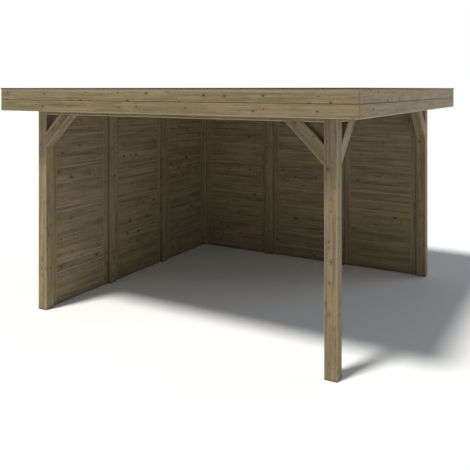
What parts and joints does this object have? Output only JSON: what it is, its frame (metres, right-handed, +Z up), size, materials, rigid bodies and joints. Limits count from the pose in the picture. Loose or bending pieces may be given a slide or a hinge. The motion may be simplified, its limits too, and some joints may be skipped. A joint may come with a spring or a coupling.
{
  "type": "wooden gazebo",
  "caption": "Open timber gazebo with a flat boarded roof, deep double fascia, knee-braced posts, and boarded panels closing the left and back sides.",
  "frame": {"origin": "on the ground, below the middle of the roof", "axes": "+Z up, +X to the right along the open front, +Y from the front to the back wall"},
  "size_m": [3.91, 3.91, 2.38],
  "materials": {
    "post_timber": "planed treated softwood, matt, with grain and knots",
    "fascia_timber": "planed treated softwood, matt, with grain and knots",
    "panel_boards": "treated softwood boards, matt, with grain and many knots",
    "panel_frames": "planed treated softwood, matt",
    "roof_timber": "sawn treated softwood, matt",
    "roof_covering": "black sheet roofing, matt",
    "edge_trim": "dark brown edging, satin"
  },
  "bodies": {
    "root": {"post_front_left": "post_timber", "post_front_right": "post_timber", "post_back_right": "post_timber", "post_back_left": "post_timber", "post_left_1": "post_timber", "post_left_2": "post_timber", "post_back_1": "post_timber", "post_back_2": "post_timber", "beam_front": "post_timber", "beam_right": "post_timber", "beam_back": "post_timber", "beam_left": "post_timber", "brace_front_left": "post_timber", "brace_front_right": "post_timber", "brace_right_front": "post_timber", "brace_right_back": "post_timber", "fascia_front_upper": "fascia_timber", "fascia_front_lower": "fascia_timber", "fascia_right_upper": "fascia_timber", "fascia_right_lower": "fascia_timber", "fascia_back_upper": "fascia_timber", "fascia_back_lower": "fascia_timber", "fascia_left_upper": "fascia_timber", "fascia_left_lower": "fascia_timber", "left_panel_1_boards": "panel_boards", "left_panel_2_boards": "panel_boards", "left_panel_3_boards": "panel_boards", "back_panel_1_boards": "panel_boards", "back_panel_2_boards": "panel_boards", "back_panel_3_boards": "panel_boards", "left_panel_1_frame": "panel_frames", "left_panel_2_frame": "panel_frames", "left_panel_3_frame": "panel_frames", "back_panel_1_frame": "panel_frames", "back_panel_2_frame": "panel_frames", "back_panel_3_frame": "panel_frames", "roof_rafters": "roof_timber", "roof_boards": "roof_timber", "roof_covering": "roof_covering", "edge_trim_front": "edge_trim", "edge_trim_right": "edge_trim", "edge_trim_back": "edge_trim", "edge_trim_left": "edge_trim"}
  },
  "joints": []
}
